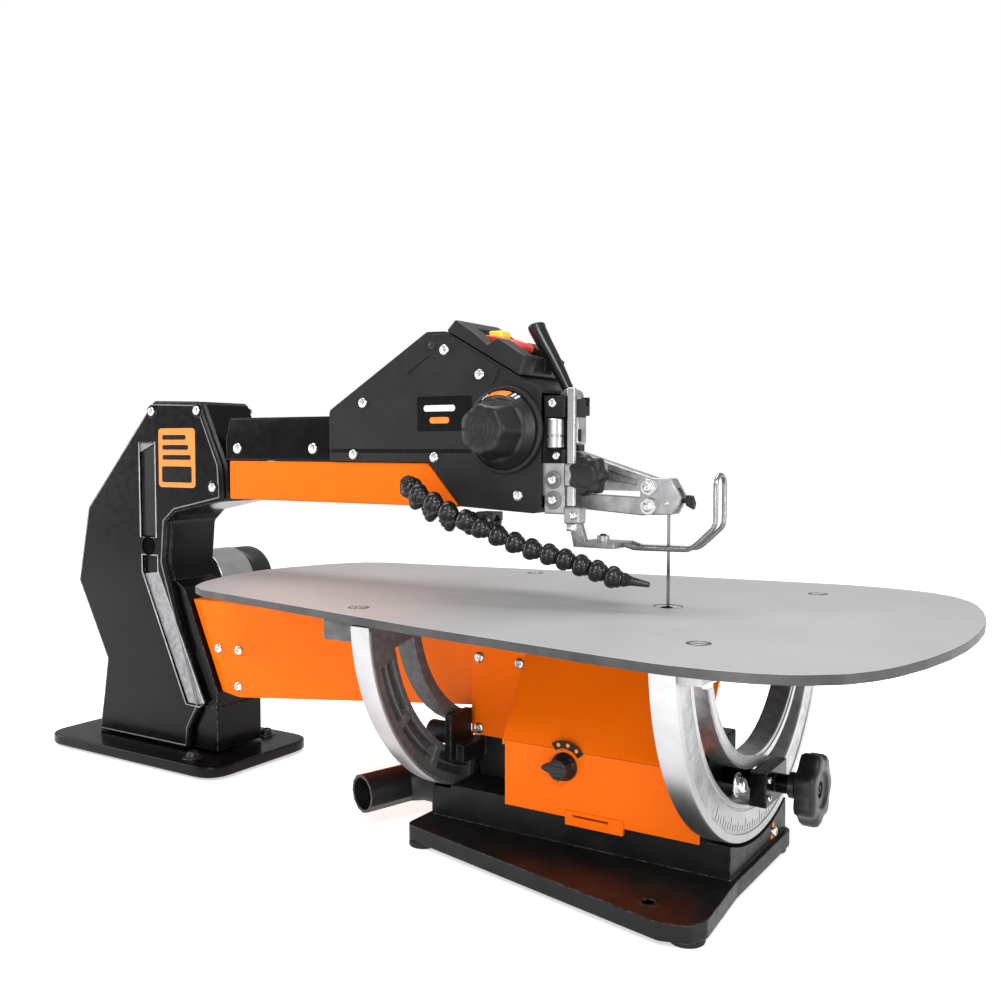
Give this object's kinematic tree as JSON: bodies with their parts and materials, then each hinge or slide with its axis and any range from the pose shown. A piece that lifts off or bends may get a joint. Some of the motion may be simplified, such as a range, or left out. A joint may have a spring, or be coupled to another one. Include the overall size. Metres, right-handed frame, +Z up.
{
  "type": "scroll saw",
  "caption": "Parallel-arm scroll saw with a tilting steel table on half-ring trunnions, a rear tower, twin arms, a speed dial, hold-down foot and jointed air hose.",
  "frame": {"origin": "middle of the bounding box at floor level", "axes": "+X towards the front of the saw (the blade end), +Y to the side away from the speed dial, +Z up"},
  "size_m": [0.905, 0.4134, 0.4228],
  "materials": {
    "gloss_black": "gloss",
    "charcoal": "matt",
    "orange": "gloss",
    "cast_aluminium": "cast",
    "table_steel": "polished",
    "bright_steel": "bright",
    "black_plastic": "satin",
    "rubber": "matt",
    "red_plastic": "satin",
    "yellow_plastic": "satin",
    "motor_grey": "satin"
  },
  "bodies": {
    "frame": {"front_base": "gloss_black", "base_foot_1": "rubber", "base_foot_2": "rubber", "base_foot_3": "rubber", "base_foot_4": "rubber", "dust_port": "black_plastic", "pedestal": "gloss_black", "tilt_clamp": "gloss_black", "tower_frame": "gloss_black", "tower_side_cover": "gloss_black", "tower_foot_plate": "gloss_black", "tower_foot_rear": "rubber", "tower_foot_front": "rubber", "motor_body": "motor_grey", "motor_end_cap": "black_plastic", "lower_pivot_pin": "bright_steel", "lower_housing": "orange", "lower_front_cap": "charcoal", "side_cover": "orange", "upper_arm_housing": "gloss_black", "upper_arm_cover": "orange", "head_cover": "charcoal", "switch_box": "black_plastic", "speed_dial_ring": "black_plastic", "head_frame": "cast_aluminium", "tension_cylinder": "bright_steel", "head_front_block": "charcoal", "hold_down_clamp": "cast_aluminium", "hose_mount": "black_plastic"},
    "table_assembly": {"table": "table_steel", "table_insert": "black_plastic", "front_trunnion": "cast_aluminium", "rear_trunnion": "cast_aluminium"},
    "upper_arm": {"upper_rocker": "cast_aluminium"},
    "lower_arm": {"lower_rocker": "cast_aluminium"},
    "blade_assembly": {"blade": "bright_steel", "upper_blade_clamp": "bright_steel", "lower_blade_clamp": "bright_steel"},
    "upper_screw": {"upper_thumbscrew": "black_plastic"},
    "lower_screw": {"lower_thumbscrew": "black_plastic"},
    "upper_rod": {"upper_push_rod": "bright_steel"},
    "lower_rod": {"lower_push_rod": "bright_steel"},
    "rear_link": {"rear_rocker": "bright_steel"},
    "crank": {"motor_shaft": "bright_steel"},
    "dial": {"speed_dial": "black_plastic"},
    "paddle": {"switch_paddle": "red_plastic"},
    "key": {"switch_key": "yellow_plastic"},
    "lever": {"tension_lever": "black_plastic"},
    "hold_down": {"hold_down_rod": "bright_steel", "foot_bracket": "cast_aluminium", "wire_foot": "bright_steel"},
    "hold_down_screw": {"hold_down_knob": "black_plastic"},
    "tilt_knob": {"tilt_lock_knob": "black_plastic"},
    "roller": {"rear_guide_roller": "black_plastic"},
    "door": {"access_door": "orange"},
    "latch": {"door_latch": "black_plastic"},
    "hose_swivel": {"hose_rear": "black_plastic"},
    "hose_run": {"hose_front": "black_plastic"},
    "nozzle": {"hose_nozzle": "black_plastic"}
  },
  "joints": [
    {"name": "table_tilt", "type": "hinge", "parent": "frame", "child": "table_assembly", "pos_m": [0.2315, 0, 0.195], "axis": [1, 0, 0], "range_deg": [-12, 45]},
    {"name": "upper_arm_rock", "type": "hinge", "parent": "frame", "child": "upper_arm", "pos_m": [0.1315, 0, 0.295], "axis": [0, 1, 0], "range_deg": [-5.4, 5.4]},
    {"name": "lower_arm_rock", "type": "hinge", "parent": "frame", "child": "lower_arm", "pos_m": [0.1315, 0, 0.152], "axis": [0, 1, 0], "range_deg": [-5.5, 5.5]},
    {"name": "blade_pivot", "type": "hinge", "parent": "upper_arm", "child": "blade_assembly", "pos_m": [0.2315, 0, 0.276], "axis": [0, 1, 0], "range_deg": [-5.5, 5.5]},
    {"name": "upper_rod_slide", "type": "slide", "parent": "frame", "child": "upper_rod", "axis": [1, 0, 0], "range_m": [-0.0025, 0.0025]},
    {"name": "lower_rod_slide", "type": "slide", "parent": "frame", "child": "lower_rod", "axis": [1, 0, 0], "range_m": [-0.0025, 0.0025]},
    {"name": "rear_link_rock", "type": "hinge", "parent": "frame", "child": "rear_link", "pos_m": [-0.3285, -0.014, 0.2235], "axis": [0, 1, 0], "range_deg": [-1.5, 1.5]},
    {"name": "motor_spin", "type": "hinge", "parent": "frame", "child": "crank", "pos_m": [-0.3285, 0.02, 0.169], "axis": [0, 1, 0], "continuous": true},
    {"name": "speed_turn", "type": "hinge", "parent": "frame", "child": "dial", "pos_m": [0.1045, -0.05, 0.3315], "axis": [0, -1, 0], "range_deg": [0, 270]},
    {"name": "paddle_lift", "type": "hinge", "parent": "frame", "child": "paddle", "pos_m": [0.0665, 0, 0.41], "axis": [0, 1, 0], "range_deg": [-8, 0]},
    {"name": "key_pull", "type": "slide", "parent": "paddle", "child": "key", "axis": [0, 0, 1], "range_m": [0, 0.008]},
    {"name": "lever_flip", "type": "hinge", "parent": "frame", "child": "lever", "pos_m": [0.1465, 0, 0.358], "axis": [0, 1, 0], "range_deg": [0, 80]},
    {"name": "hold_down_slide", "type": "slide", "parent": "frame", "child": "hold_down", "axis": [0, 0, 1], "range_m": [-0.03, 0.008]},
    {"name": "hold_down_screw_turn", "type": "hinge", "parent": "frame", "child": "hold_down_screw", "pos_m": [0.181, -0.038, 0.296], "axis": [0, -1, 0], "continuous": true},
    {"name": "tilt_knob_turn", "type": "hinge", "parent": "frame", "child": "tilt_knob", "pos_m": [0.3415, 0, 0.072], "axis": [1, 0, 0], "continuous": true},
    {"name": "roller_spin", "type": "hinge", "parent": "frame", "child": "roller", "pos_m": [0.0565, -0.057, 0.085], "axis": [1, 0, 0], "continuous": true},
    {"name": "door_open", "type": "hinge", "parent": "frame", "child": "door", "pos_m": [0.2315, -0.068, 0.035], "axis": [1, 0, 0], "range_deg": [0, 90]},
    {"name": "latch_turn", "type": "hinge", "parent": "door", "child": "latch", "pos_m": [0.1785, -0.068, 0.0785], "axis": [0, -1, 0], "range_deg": [0, 90]},
    {"name": "upper_screw_turn", "type": "hinge", "parent": "blade_assembly", "child": "upper_screw", "pos_m": [0.2415, 0, 0.278], "axis": [1, 0, 0], "continuous": true},
    {"name": "lower_screw_turn", "type": "hinge", "parent": "blade_assembly", "child": "lower_screw", "pos_m": [0.2415, 0, 0.135], "axis": [1, 0, 0], "continuous": true},
    {"name": "hose_swivel_turn", "type": "hinge", "parent": "frame", "child": "hose_swivel", "pos_m": [0.065, -0.0295, 0.255], "axis": [0, 0, 1], "range_deg": [-3, 0]},
    {"name": "hose_bend", "type": "hinge", "parent": "hose_swivel", "child": "hose_run", "pos_m": [0.0285, -0.061, 0.286], "axis": [0, 0, 1], "range_deg": [-2, 0]},
    {"name": "nozzle_turn", "type": "hinge", "parent": "hose_run", "child": "nozzle", "pos_m": [0.207, -0.042, 0.2196], "axis": [0, 0, 1], "range_deg": [-5, 5]}
  ],
  "couplings": [
    {"joint": "lower_arm_rock", "follows": "upper_arm_rock", "ratio": 1},
    {"joint": "blade_pivot", "follows": "upper_arm_rock", "ratio": -1},
    {"joint": "upper_rod_slide", "follows": "upper_arm_rock", "m_per_rad": 0.025},
    {"joint": "lower_rod_slide", "follows": "upper_arm_rock", "m_per_rad": -0.025},
    {"joint": "rear_link_rock", "follows": "upper_arm_rock", "ratio": 0.25907}
  ]
}
